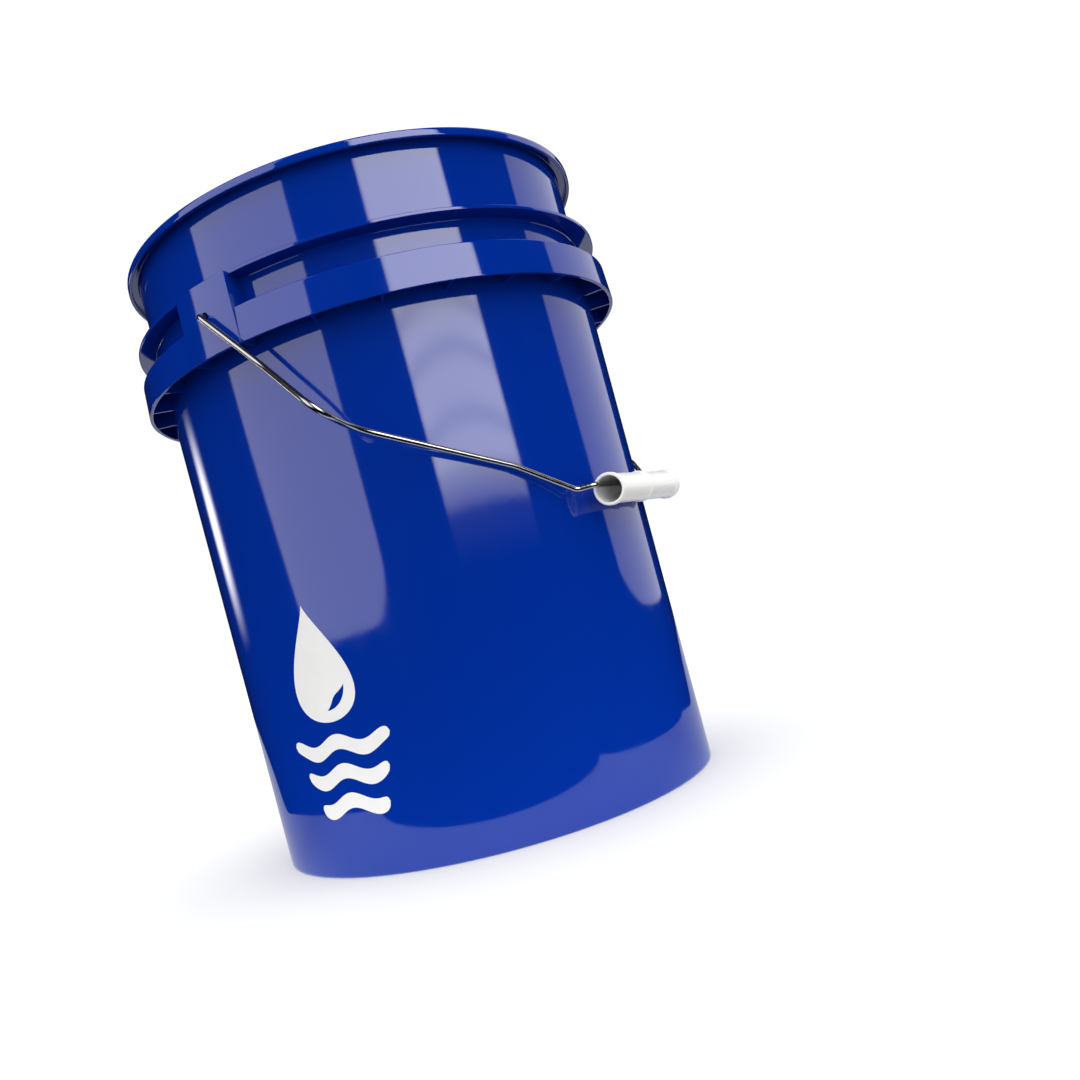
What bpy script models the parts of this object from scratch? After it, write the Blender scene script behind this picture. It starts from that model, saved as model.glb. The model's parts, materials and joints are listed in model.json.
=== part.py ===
"""Wash bucket: a 20 litre pail with a wire bail, a turning hand grip and a lift-out grit guard.

Metres, +Z up. The origin is the centre of the foot ring, on the surface that the pail stands on.
The bail turns about a line along X through the two ears, and hangs towards -Y at rest.
"""

import math

import bmesh
import bpy
from mathutils import Matrix, Vector

# Pail wall and floor
HEIGHT = 0.368
BASE_RADIUS = 0.1330
TAPER = 0.01843                # growth of the radius for each metre of height
WALL = 0.0023
FOOT_HEIGHT = 0.0060           # the recess under the floor
FOOT_WIDTH = 0.0032
FLOOR_TOP = 0.0086
FLOOR_FILLET = 0.0030
BASE_ROUND = 0.0015
TURN_STEPS = 72

# Rim
RIM_RADIUS = 0.1464
RIM_DEPTH = 0.0050             # height of the lip's outer face
RIM_THICK = 0.0020
RIM_ROUND = 0.0010

# Stacking flange and the skirted collar below it
FLANGE_RADIUS = 0.1498
FLANGE_TOP = 0.3218
FLANGE_LOW = 0.3197
COLLAR_TOP = 0.3015
COLLAR_LOW = 0.2822
COLLAR_RADIUS_TOP = 0.1514
COLLAR_RADIUS_LOW = 0.1521
COLLAR_THICK = 0.0020

# Gussets under the collar, at these angles to each side of each ear
GUSSET_ANGLES = [22.3 + 14.42 * step for step in range(5)]
GUSSET_THICK = 0.0018

# Ears: pads on the collar that carry the bail
EAR_HALF_ANGLE = 7.2
EAR_RADIUS = 0.1525
EAR_THICK = 0.0025
EAR_ROOF = 0.3192              # underside of the flange over the hollow ear
EAR_SIDE = 0.0018
EAR_SKIN = 0.0002              # plastic left on the wall inside the hollow ear
EAR_OPEN = 0.0020              # how far the hollow's cutter runs out below
EYE_HEIGHT = 0.3035
EYE_RADIUS = 0.0025
EYE_LENGTH = 0.0120
EYE_STEPS = 20

# Bail wire, in its own plane: x along the hinge line, reach away from it
WIRE_RADIUS = 0.0016
REST_TILT = math.radians(44.26)    # how far below the horizontal the bail hangs
HOOK_X = 0.1446
HOOK_REACH = 0.0085
GRIP_REACH = 0.1976
BAIL_CORNERS = [               # x, reach, bow towards the wall, and bend radius of each corner
    (HOOK_X, HOOK_REACH, 0.0, 0.0),
    (HOOK_X, 0.0, 0.0, 0.0030),
    (0.1575, 0.0, 0.0, 0.0035),
    (0.1581, 0.0530, 0.0048, 0.040),
    (0.1728, 0.1055, 0.0053, 0.0127),
    (0.1435, 0.1092, 0.0123, 0.030),
    (0.0807, 0.1656, 0.0050, 0.040),
    (0.0540, 0.1909, 0.0065, 0.006),
    (0.0488, GRIP_REACH, 0.0, 0.005),
]

# Hand grip
GRIP_LENGTH = 0.0870
GRIP_RADIUS = 0.0080
GRIP_BEAD = 0.0088
GRIP_BORE = 0.0072
BEAD_LENGTH = 0.0030
GRIP_DROP = GRIP_BORE - WIRE_RADIUS - 0.0003
GRIP_STEPS = 28

# Grit guard
GUARD_RADIUS = 0.1300
GUARD_HEIGHT = 0.0635
GUARD_GAP = 0.0003             # between the guard's feet and the floor
GRILLE_DEPTH = 0.0070
BLADE = 0.0015
RIM_BLADE = 0.0019
FIN_THICK = 0.0018
FOOT = 0.0035                  # how far the rods stand out below the fins
ROD_RADIUS = 0.0016
SPOKE_STEP = math.radians(15)
RINGS = 10                     # rings at each tenth of the radius
FIN_TURN = math.radians(45)
LOOP_RADIUS = 0.0125           # finger loops where the fins meet the rim
HUB_LOOP_RADIUS = 0.0113
STEP = 0.0002                  # small steps between the tops of crossing blades

parts = bpy.data.collections.new("wash_bucket")
cutters = bpy.data.collections.new("cutters")


def clear_scene():
    """Remove every object, and add the two collections."""
    for old in list(bpy.data.objects):
        bpy.data.objects.remove(old, do_unlink=True)
    bpy.context.scene.collection.children.link(parts)
    bpy.context.scene.collection.children.link(cutters)


def material(name, colour, roughness, metallic=0.0):
    """A Principled BSDF with one colour."""
    made = bpy.data.materials.new(name)
    made.use_nodes = True
    shader = made.node_tree.nodes["Principled BSDF"]
    shader.inputs["Base Color"].default_value = (*colour, 1.0)
    shader.inputs["Roughness"].default_value = roughness
    shader.inputs["Metallic"].default_value = metallic
    return made


def as_mesh(shape, collection):
    """Turn a curve object into a mesh object with its caps welded on."""
    shape_name = shape.name
    bpy.context.scene.collection.objects.link(shape)
    bpy.context.view_layer.update()
    depsgraph = bpy.context.evaluated_depsgraph_get()
    mesh = bpy.data.meshes.new_from_object(shape.evaluated_get(depsgraph))
    welded = bmesh.new()
    welded.from_mesh(mesh)
    bmesh.ops.remove_doubles(welded, verts=welded.verts, dist=1e-6)
    welded.to_mesh(mesh)
    welded.free()
    solid = bpy.data.objects.new(shape_name + "_solid", mesh)
    solid.matrix_world = shape.matrix_world
    bpy.data.objects.remove(shape, do_unlink=True)
    solid.name = shape_name
    collection.objects.link(solid)
    return solid


def flat_solid(name, outlines, low, high, collection):
    """Extrude closed flat outlines from height low to high; an outline inside another is a hole."""
    curve = bpy.data.curves.new(name, "CURVE")
    curve.dimensions = "2D"
    curve.fill_mode = "BOTH"
    curve.extrude = (high - low) / 2
    for outline in outlines:
        spline = curve.splines.new("POLY")
        spline.points.add(len(outline) - 1)
        for point, (x, y) in zip(spline.points, outline):
            point.co = (x, y, 0.0, 1.0)
        spline.use_cyclic_u = True
    shape = bpy.data.objects.new(name, curve)
    shape.location.z = (low + high) / 2
    return as_mesh(shape, collection)


def turned_solid(name, profile, closed, steps, collection):
    """Turn a profile of (radius, height) points about Z."""
    mesh = bpy.data.meshes.new(name)
    edges = [(i, i + 1) for i in range(len(profile) - 1)]
    if closed:
        edges.append((len(profile) - 1, 0))
    mesh.from_pydata([(r, 0.0, z) for r, z in profile], edges, [])
    solid = bpy.data.objects.new(name, mesh)
    collection.objects.link(solid)
    screw = solid.modifiers.new("turn", "SCREW")
    screw.axis = "Z"
    screw.angle = math.tau
    screw.steps = steps
    screw.render_steps = steps
    screw.use_merge_vertices = True
    screw.merge_threshold = 0.00001
    return solid


def combine(solid, tool, operation):
    """Add a Boolean modifier, and keep its tool out of the object."""
    tool.hide_render = True
    tool.display_type = "WIRE"
    modifier = solid.modifiers.new(f"{operation.lower()} {tool.name}", "BOOLEAN")
    modifier.operation = operation
    modifier.object = tool
    modifier.solver = "EXACT"


def weld(solid):
    """Merge the hair-thin edges that a Boolean can leave."""
    modifier = solid.modifiers.new("weld", "WELD")
    modifier.merge_threshold = 0.00002


def finish_part(solid, name, surface, smooth_angle=None):
    """Name the part, give it its material, and shade a round one smooth."""
    solid.name = name
    solid.data.name = name
    solid.data.materials.clear()
    solid.data.materials.append(surface)
    if smooth_angle is not None and solid.type == "MESH":
        solid.data.shade_smooth()
        solid.data.set_sharp_from_angle(angle=math.radians(smooth_angle))


def arc(centre, radius, start, end, steps):
    """Points of an arc, with both its ends, angles in radians."""
    turn = (end - start) / steps
    angles = [start + turn * i for i in range(steps + 1)]
    return [(centre[0] + radius * math.cos(a), centre[1] + radius * math.sin(a)) for a in angles]


def circle(centre, radius, steps):
    """Points of a whole circle."""
    return arc(centre, radius, 0.0, math.tau, steps)[:-1]


def sector(inner, outer, start, end, steps):
    """A piece of a flat ring between two radii and two angles."""
    return arc((0, 0), outer, start, end, steps) + arc((0, 0), inner, end, start, steps)


def bar(start, end, angle, thick):
    """A straight bar along a line through the origin, between two distances along it."""
    along = (math.cos(angle), math.sin(angle))
    side = (-along[1], along[0])
    corners = [(start, -thick / 2), (end, -thick / 2), (end, thick / 2), (start, thick / 2)]
    return [
        (along[0] * a + side[0] * b, along[1] * a + side[1] * b)
        for a, b in corners
    ]


# The pail


def wall_outside(z):
    """Outer radius of the tapered wall at a height."""
    return BASE_RADIUS + TAPER * z


def wall_inside(z):
    """Inner radius of the tapered wall at a height."""
    return wall_outside(z) - WALL


def pail_profile():
    """Half section: out along the floor, up the inside, over the rim and down the outside."""
    corner = FLOOR_TOP + FLOOR_FILLET
    fillet_centre = (wall_inside(corner) - FLOOR_FILLET, corner)
    inside = [(0.0, FLOOR_TOP)]
    inside += arc(fillet_centre, FLOOR_FILLET, -math.pi / 2, 0.0, 3)
    inside += [(wall_inside(HEIGHT), HEIGHT - RIM_ROUND), (wall_inside(HEIGHT) + RIM_ROUND, HEIGHT)]
    lip_inside = RIM_RADIUS - RIM_THICK
    rim_centre = (RIM_RADIUS - RIM_ROUND, HEIGHT - RIM_ROUND)
    rim = arc(rim_centre, RIM_ROUND, math.pi / 2, 0.0, 2)
    rim += [
        (RIM_RADIUS, HEIGHT - RIM_DEPTH),
        (lip_inside, HEIGHT - RIM_DEPTH),
        (lip_inside, HEIGHT - RIM_THICK),
        (wall_outside(HEIGHT), HEIGHT - RIM_THICK),
    ]
    flange = [
        (wall_outside(FLANGE_TOP), FLANGE_TOP),
        (FLANGE_RADIUS, FLANGE_TOP),
        (FLANGE_RADIUS, FLANGE_LOW),
        (wall_outside(FLANGE_LOW), FLANGE_LOW),
    ]
    web_low = COLLAR_TOP - COLLAR_THICK
    collar = [
        (wall_outside(COLLAR_TOP), COLLAR_TOP),
        (COLLAR_RADIUS_TOP, COLLAR_TOP),
        (COLLAR_RADIUS_LOW, COLLAR_LOW),
        (COLLAR_RADIUS_LOW - COLLAR_THICK, COLLAR_LOW),
        (COLLAR_RADIUS_TOP - COLLAR_THICK, web_low),
        (wall_outside(web_low), web_low),
    ]
    base_centre = (wall_outside(0.0) - BASE_ROUND, BASE_ROUND)
    base = arc(base_centre, BASE_ROUND, 0.0, -math.pi / 2, 2)
    foot_inside = wall_outside(0.0) - BASE_ROUND - FOOT_WIDTH
    base += [(foot_inside, 0.0), (foot_inside, FOOT_HEIGHT), (0.0, FOOT_HEIGHT)]
    return inside + rim + flange + collar + base


def both_ears(outline):
    """The same outline on the +X ear and, turned half round, on the -X ear."""
    return [outline, [(-x, -y) for x, y in outline]]


def ear_blocks():
    """Solid pads between the flange and the collar's lower edge."""
    half = math.radians(EAR_HALF_ANGLE)
    outline = sector(wall_inside(COLLAR_LOW) + WALL / 2, EAR_RADIUS, -half, half, 4)
    return flat_solid("ear_blocks", both_ears(outline), COLLAR_LOW, FLANGE_TOP, cutters)


def ear_hollows():
    """The hollow behind each pad, open below, where the wire's hook swings."""
    outside = EAR_RADIUS - EAR_THICK
    half = math.radians(EAR_HALF_ANGLE) - EAR_SIDE / outside
    outline = sector(wall_outside(EAR_ROOF) + EAR_SKIN, outside, -half, half, 4)
    low = COLLAR_LOW - EAR_OPEN
    return flat_solid("ear_hollows", both_ears(outline), low, EAR_ROOF, cutters)


def ear_eyes():
    """One pin along X for each ear's hole, through the pad and not the wall."""
    eyes = bmesh.new()
    for side in (-1, 1):
        made = bmesh.ops.create_cone(
            eyes,
            cap_ends=True,
            segments=EYE_STEPS,
            radius1=EYE_RADIUS,
            radius2=EYE_RADIUS,
            depth=EYE_LENGTH,
        )
        bmesh.ops.transform(eyes, matrix=Matrix.Rotation(math.pi / 2, 4, "Y"), verts=made["verts"])
        middle = side * (EAR_RADIUS - EAR_THICK / 2)
        bmesh.ops.translate(eyes, vec=(middle, 0.0, EYE_HEIGHT), verts=made["verts"])
    mesh = bpy.data.meshes.new("ear_eyes")
    eyes.to_mesh(mesh)
    eyes.free()
    tool = bpy.data.objects.new("ear_eyes", mesh)
    cutters.objects.link(tool)
    return tool


def gussets():
    """Upright plates that tie the collar's skirt to the wall."""
    inner = wall_outside(COLLAR_LOW) - WALL / 2
    outer = COLLAR_RADIUS_TOP - COLLAR_THICK / 2
    outlines = []
    for ear in (0, 180):
        for angle in GUSSET_ANGLES:
            for side in (-1, 1):
                outlines.append(bar(inner, outer, math.radians(ear + side * angle), GUSSET_THICK))
    high = COLLAR_TOP - COLLAR_THICK / 2
    return flat_solid("gussets", outlines, COLLAR_LOW, high, cutters)


def build_pail():
    """The whole moulding."""
    pail = turned_solid("pail", pail_profile(), False, TURN_STEPS, parts)
    combine(pail, gussets(), "UNION")
    combine(pail, ear_blocks(), "UNION")
    combine(pail, ear_hollows(), "DIFFERENCE")
    combine(pail, ear_eyes(), "DIFFERENCE")
    finish_part(pail, "pail", material("pail_plastic", (0.0, 0.023, 0.26), 0.12), 30)


# The bail and its grip


def rounded_path(corners, steps):
    """A path through the corners, each one rounded to its bend radius, the last number."""
    path = [Vector(corners[0][:-1])]
    for before, here, after in zip(corners, corners[1:], corners[2:]):
        middle = Vector(here[:-1])
        back = Vector(before[:-1]) - middle
        ahead = Vector(after[:-1]) - middle
        half = back.angle(ahead) / 2
        trim = min(here[-1] / math.tan(half), 0.48 * back.length, 0.48 * ahead.length)
        start = middle + back.normalized() * trim
        end = middle + ahead.normalized() * trim
        for i in range(steps + 1):
            t = i / steps
            path.append(start * (1 - t) ** 2 + middle * 2 * t * (1 - t) + end * t ** 2)
    path.append(Vector(corners[-1][:-1]))
    return path


def build_bail(hinge):
    """The wire, close to the hinge's XY plane, reaching towards its -Y and bowed to its -Z."""
    corners = BAIL_CORNERS + [(0.0, GRIP_REACH, 0.0, 0.0)]
    half = rounded_path(corners, 3)
    points = half[:-1] + [Vector((-x, reach, bow)) for x, reach, bow in reversed(half[:-1])]
    curve = bpy.data.curves.new("bail", "CURVE")
    curve.dimensions = "3D"
    curve.bevel_depth = WIRE_RADIUS
    curve.bevel_resolution = 2
    curve.use_fill_caps = True
    spline = curve.splines.new("POLY")
    spline.points.add(len(points) - 1)
    for point, (x, reach, bow) in zip(spline.points, points):
        point.co = (x, -reach, -bow, 1.0)
    bail = bpy.data.objects.new("bail", curve)
    parts.objects.link(bail)
    bail.parent = hinge
    finish_part(bail, "bail", material("bright_wire", (0.62, 0.63, 0.64), 0.18, 1.0))


def grip_profile():
    """Section of the tube: outer side top to bottom with three beads, then up the bore."""
    half = GRIP_LENGTH / 2
    bead = BEAD_LENGTH / 2
    slope = GRIP_BEAD - GRIP_RADIUS
    outer = []
    for middle in (half - bead, 0.0, bead - half):
        outer += [
            (GRIP_RADIUS, middle + bead + slope),
            (GRIP_BEAD, middle + bead),
            (GRIP_BEAD, middle - bead),
            (GRIP_RADIUS, middle - bead - slope),
        ]
    outer = outer[1:-1]
    return outer + [(GRIP_BORE, -half), (GRIP_BORE, half)]


def build_grip(hinge):
    """The tube hangs on the wire, which touches the near side of its bore."""
    grip = turned_solid("hand_grip", grip_profile(), True, GRIP_STEPS, parts)
    grip.parent = hinge
    grip.location = (0.0, -(GRIP_REACH + GRIP_DROP), 0.0)
    grip.rotation_euler = (0.0, math.pi / 2, 0.0)
    finish_part(grip, "hand_grip", material("grip_plastic", (0.80, 0.80, 0.80), 0.35), 40)


def bail_hinge():
    """An empty on the hinge line, tilted so that the bail hangs against the pail."""
    hinge = bpy.data.objects.new("bail_hinge", None)
    parts.objects.link(hinge)
    hinge.location = (0.0, 0.0, EYE_HEIGHT)
    hinge.rotation_euler = (REST_TILT, 0.0, 0.0)
    return hinge


# The grit guard


def spoke_reaches(number, gap):
    """Whether a spoke crosses the gap outside ring number gap. Every sixth spoke is a fin."""
    place = number % 6
    if place == 0:
        return True
    return gap >= (2 if place % 2 == 0 else 3)


def grille_cells():
    """The openings between neighbouring rings and spokes, as flat outlines."""
    count = round(math.tau / SPOKE_STEP)
    cells = []
    for gap in range(2, RINGS):
        inner = GUARD_RADIUS * gap / RINGS + BLADE / 2
        outer = GUARD_RADIUS * (gap + 1) / RINGS - BLADE / 2
        if gap + 1 == RINGS:
            outer = GUARD_RADIUS - RIM_BLADE
        present = [n for n in range(count) if spoke_reaches(n, gap)]
        for first, second in zip(present, present[1:] + [present[0] + count]):
            start = FIN_TURN + first * SPOKE_STEP
            end = FIN_TURN + second * SPOKE_STEP
            steps = 2 * (second - first)
            slip_out = BLADE / 2 / outer
            slip_in = BLADE / 2 / inner
            cell = arc((0, 0), outer, start + slip_out, end - slip_out, steps)
            cell += arc((0, 0), inner, end - slip_in, start + slip_in, steps)
            cells.append(cell)
    return cells


def ring_outlines(centres, radius, steps):
    """A thin ring about each centre."""
    outlines = []
    for centre in centres:
        outlines.append(circle(centre, radius + BLADE / 2, steps))
        outlines.append(circle(centre, radius - BLADE / 2, steps))
    return outlines


def add_hub(guard, low, high):
    """Fill the space inside the second ring: a small ring, two stubs and two round hub loops."""
    pitch = GUARD_RADIUS / RINGS
    ring = flat_solid("hub_ring", ring_outlines([(0, 0)], pitch, 24), low + STEP, high - STEP, cutters)
    outlines = [bar(pitch, 2 * pitch, turn, BLADE) for turn in (math.pi / 2, -math.pi / 2)]
    stubs = flat_solid("hub_stubs", outlines, low + 2 * STEP, high - 2 * STEP, cutters)
    offset = 2 * pitch - HUB_LOOP_RADIUS - STEP
    centres = [(offset, 0.0), (-offset, 0.0)]
    openings = [circle(centre, HUB_LOOP_RADIUS, 24) for centre in centres]
    holes = flat_solid("hub_holes", openings, low - BLADE, high + BLADE, cutters)
    outlines = ring_outlines(centres, HUB_LOOP_RADIUS, 24)
    loops = flat_solid("hub_loops", outlines, low + 3 * STEP, high - 3 * STEP, cutters)
    combine(ring, holes, "DIFFERENCE")
    combine(loops, ring, "UNION")
    combine(loops, stubs, "UNION")
    combine(guard, loops, "UNION")


def add_finger_loops(guard, low, high):
    """A finger loop on each fin, against the rim."""
    reach = GUARD_RADIUS - RIM_BLADE / 2 - LOOP_RADIUS
    corners = [FIN_TURN + quarter * math.pi / 2 for quarter in range(4)]
    spots = [(reach * math.cos(a), reach * math.sin(a)) for a in corners]
    rings = ring_outlines(spots, LOOP_RADIUS - BLADE / 2, 24)
    loops = flat_solid("finger_loops", rings, low + 3 * STEP, high - 3 * STEP, cutters)
    combine(guard, loops, "UNION")


def fin_cross(reach, thick):
    """A plan view of the two crossed fins, as one outline."""
    half = thick / 2
    arm = [(half, half), (reach, half), (reach, -half)]
    outline = []
    for quarter in range(4):
        turn = FIN_TURN - quarter * math.pi / 2
        c, s = math.cos(turn), math.sin(turn)
        outline += [(c * x - s * y, s * x + c * y) for x, y in arm]
    return outline


def rod_places():
    """Where the stiffening rods stand, two rings apart along each fin."""
    places = []
    for quarter in range(4):
        turn = FIN_TURN + quarter * math.pi / 2
        for ring in range(1, RINGS, 2):
            reach = GUARD_RADIUS * ring / RINGS
            places.append((reach * math.cos(turn), reach * math.sin(turn)))
    return places


def add_fins(guard, base, high):
    """Two crossed plates, and rods through them that stand on the floor."""
    outline = fin_cross(GUARD_RADIUS - RIM_BLADE / 2, FIN_THICK)
    fins = flat_solid("fins", [outline], base + FOOT, high - 4 * STEP, cutters)
    outlines = [circle(place, ROD_RADIUS, 8) for place in rod_places()]
    rods = flat_solid("fin_rods", outlines, base, high - GRILLE_DEPTH / 2, cutters)
    combine(guard, fins, "UNION")
    combine(guard, rods, "UNION")


def build_guard():
    """The guard stands on the pail's floor with its grille uppermost."""
    base = FLOOR_TOP + GUARD_GAP
    high = base + GUARD_HEIGHT
    low = high - GRILLE_DEPTH
    rim = circle((0, 0), GUARD_RADIUS, 48)
    hub_space = circle((0, 0), GUARD_RADIUS * 2 / RINGS - BLADE / 2, 24)
    guard = flat_solid("grit_guard", [rim, hub_space] + grille_cells(), low, high, parts)
    add_hub(guard, low, high)
    weld(guard)
    add_finger_loops(guard, low, high)
    add_fins(guard, base, high)
    weld(guard)
    finish_part(guard, "grit_guard", material("guard_plastic", (0.012, 0.012, 0.38), 0.30))


clear_scene()
build_pail()
pivot = bail_hinge()
build_bail(pivot)
build_grip(pivot)
build_guard()
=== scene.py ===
"""Wash bucket in a plain pale studio: the visual model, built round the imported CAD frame.

Metres, +Z up. The pail's axis is the Z axis, its ears are on +X and -X, and the bail hangs towards -Y.
"""

import json
import math

import bmesh
import bpy
from mathutils import Matrix, Vector


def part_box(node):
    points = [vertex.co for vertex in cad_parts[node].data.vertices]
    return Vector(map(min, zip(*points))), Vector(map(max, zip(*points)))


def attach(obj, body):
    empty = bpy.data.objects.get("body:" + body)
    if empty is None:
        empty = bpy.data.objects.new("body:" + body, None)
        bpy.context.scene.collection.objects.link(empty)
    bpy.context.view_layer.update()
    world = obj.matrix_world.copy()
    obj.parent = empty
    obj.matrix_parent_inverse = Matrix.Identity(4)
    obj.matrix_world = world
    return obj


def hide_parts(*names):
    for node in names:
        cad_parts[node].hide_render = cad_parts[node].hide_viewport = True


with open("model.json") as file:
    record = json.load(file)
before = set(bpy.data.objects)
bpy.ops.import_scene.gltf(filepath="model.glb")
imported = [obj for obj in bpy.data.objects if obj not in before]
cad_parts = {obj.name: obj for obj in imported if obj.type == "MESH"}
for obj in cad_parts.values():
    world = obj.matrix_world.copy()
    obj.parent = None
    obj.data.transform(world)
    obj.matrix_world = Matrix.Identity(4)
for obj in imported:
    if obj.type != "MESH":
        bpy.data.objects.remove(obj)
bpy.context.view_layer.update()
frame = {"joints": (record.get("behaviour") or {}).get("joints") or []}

# Sizes read from the frame
PAIL_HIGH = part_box("pail")[1]
GUARD_LOW, GUARD_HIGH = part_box("grit_guard")
GRIP_LOW, GRIP_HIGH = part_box("hand_grip")
HINGE = Vector(next(j["pos_m"] for j in frame["joints"] if j["name"] == "bail_hinge"))

# Pail wall and floor
HEIGHT = PAIL_HIGH.z
BASE_RADIUS = 0.1330
TAPER = 0.01843                # growth of the radius for each metre of height
WALL = 0.0023
FOOT_HEIGHT = 0.0060
FOOT_WIDTH = 0.0032
FLOOR_TOP = 0.0086
BASE_ROUND = 0.0015
FLOOR_FILLET = 0.0030
CORNER_ROUND = 0.0008          # where a rib or a lip grows out of the wall
EDGE_ROUND = 0.0003            # sharp moulded edges
PAIL_STEPS = 288

# Rim, flange and collar
RIM_RADIUS = 0.1464
RIM_DEPTH = 0.0050
RIM_THICK = 0.0020
RIM_ROUND = 0.0016             # the lip's outer edge at the top
LIP_ROUND = 0.0009             # and at its lower end
FLANGE_RADIUS = 0.1498
FLANGE_TOP = 0.3218
FLANGE_LOW = 0.3197
COLLAR_TOP = 0.3015
COLLAR_LOW = 0.2822
COLLAR_RADIUS_TOP = 0.1514
COLLAR_RADIUS_LOW = 0.1521
COLLAR_THICK = 0.0020
GUSSET_ANGLES = [22.3 + 14.42 * step for step in range(5)]
GUSSET_THICK = 0.0018

# Ears
EAR_HALF_ANGLE = math.radians(7.2)
EAR_RADIUS = PAIL_HIGH.x
EAR_THICK = 0.0025
EAR_ROOF = 0.3192
EAR_SIDE = 0.0018
EAR_EDGE = 0.0005              # rounding of the pads' edges
EAR_INSET = 0.0001             # keeps the pads' flat ends off the flange's and the collar's
EAR_SKIN = 0.0002              # from the wall to the hollow behind a pad
EAR_OPEN = 0.0020              # the hollow's cutter goes this far below the collar
EYE_RADIUS = 0.0025
EYE_LENGTH = 0.0120

# Bail wire
WIRE_RADIUS = 0.0016
REST_TILT = math.radians(44.26)
HOOK_X = 0.1446
HOOK_REACH = 0.0085
GRIP_REACH = 0.1976
BAIL_CORNERS = [               # x, reach, bow towards the wall, bend radius; the last six are fitted
    (HOOK_X, HOOK_REACH, 0.0, 0.0),
    (HOOK_X, 0.0, 0.0, 0.0030),
    (0.1575, 0.0, 0.0, 0.0035),
    (0.1581, 0.0530, 0.0048, 0.040),
    (0.1728, 0.1055, 0.0053, 0.0127),
    (0.1435, 0.1092, 0.0123, 0.030),
    (0.0807, 0.1656, 0.0050, 0.040),
    (0.0540, 0.1909, 0.0065, 0.006),
    (0.0488, GRIP_REACH, 0.0, 0.005),
]

# Hand grip
GRIP_BEAD = (GRIP_HIGH.z - GRIP_LOW.z) / 2
GRIP_RADIUS = 0.0080
GRIP_BORE = 0.0072
BEAD_LENGTH = 0.0030

# Grit guard
GUARD_RADIUS = GUARD_HIGH.x
GRILLE_DEPTH = 0.0070
BLADE = 0.0015
RIM_BLADE = 0.0019
RIM_EDGE = 0.0004
FIN_THICK = 0.0018
FOOT = 0.0035
ROD_RADIUS = 0.0016
SPOKE_STEP = math.radians(15)
RINGS = 10
FIN_TURN = math.radians(45)
LOOP_RADIUS = 0.0125           # of the four loops on the fins
HUB_LOOP_RADIUS = 0.0113
LOOP_GAP = 0.0002              # from the hub loops to the ring round them

# Printed mark
PRINT_LIFT = 0.00008           # ink above the wall
PRINT_COLUMN = 0.0015          # widest strip of ink between two bends round the wall
DROP = (0.1135, 0.0315, 0.0225)    # height of the middle, half height and half width
SHINE = (0.1020, 0.0140, 0.0046)   # height of the middle, radius and thickness
WAVES = [(0.0690, 0.0660), (0.0535, 0.0560), (0.0380, 0.0460)]    # height and width of each
WAVE_HEIGHT = 0.0026
WAVE_LENGTH = 0.0330
WAVE_THICK = 0.0040

# Camera, whose place, turn and lens are fitted, and studio
VIEW_AZIMUTH = -56.7           # degrees, to the right of the picture
CAMERA_AZIMUTH = VIEW_AZIMUTH - 90
CAMERA_DISTANCE = 0.615
CAMERA_HEIGHT = 0.120
CAMERA_YAW = math.radians(-0.291)
CAMERA_PITCH = math.radians(4.947)
CAMERA_ROLL = math.radians(-15.011)
LENS = 31.86
SHIFT = (0.108, -0.0037)
STUDIO_RADIUS = 1.5
BOX_TOP = 2.2                  # upper end of the tall light boxes
WHITE = 0.985                  # the boxes' green against their red and blue
POOL_FRONT = (1.15, 1.33, 2.05)    # light of the floor near the pail, in front of it
POOL_BACK = (0.55, 0.58, 0.68)     # and behind it
BOUNCE = 1.3                   # what that floor gives to matt surfaces
FLOOR_GREY = 0.74
FLOOR_SIZE = 30.0
SKY_LEVEL = 0.97               # light on matt surfaces from every side
SKY_LEAN = (0.20, 0.16, 1.15)  # more of it from the front, the right and above
SKY_LEAST = 0.03
SKY_MIRRORED = 0.004
SKY_SEEN = 1.05
UNDER_FLOOR = -0.0004          # cards just below the floor, which doesn't hide them from the pail

SMOOTH_ANGLE = math.radians(30)    # edges sharper than this are kept, and beveled on blocks

pieces = bpy.data.collections.new("wash_bucket_visual")
bpy.context.scene.collection.children.link(pieces)
studio = bpy.data.collections.new("studio")
bpy.context.scene.collection.children.link(studio)


# Materials


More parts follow.
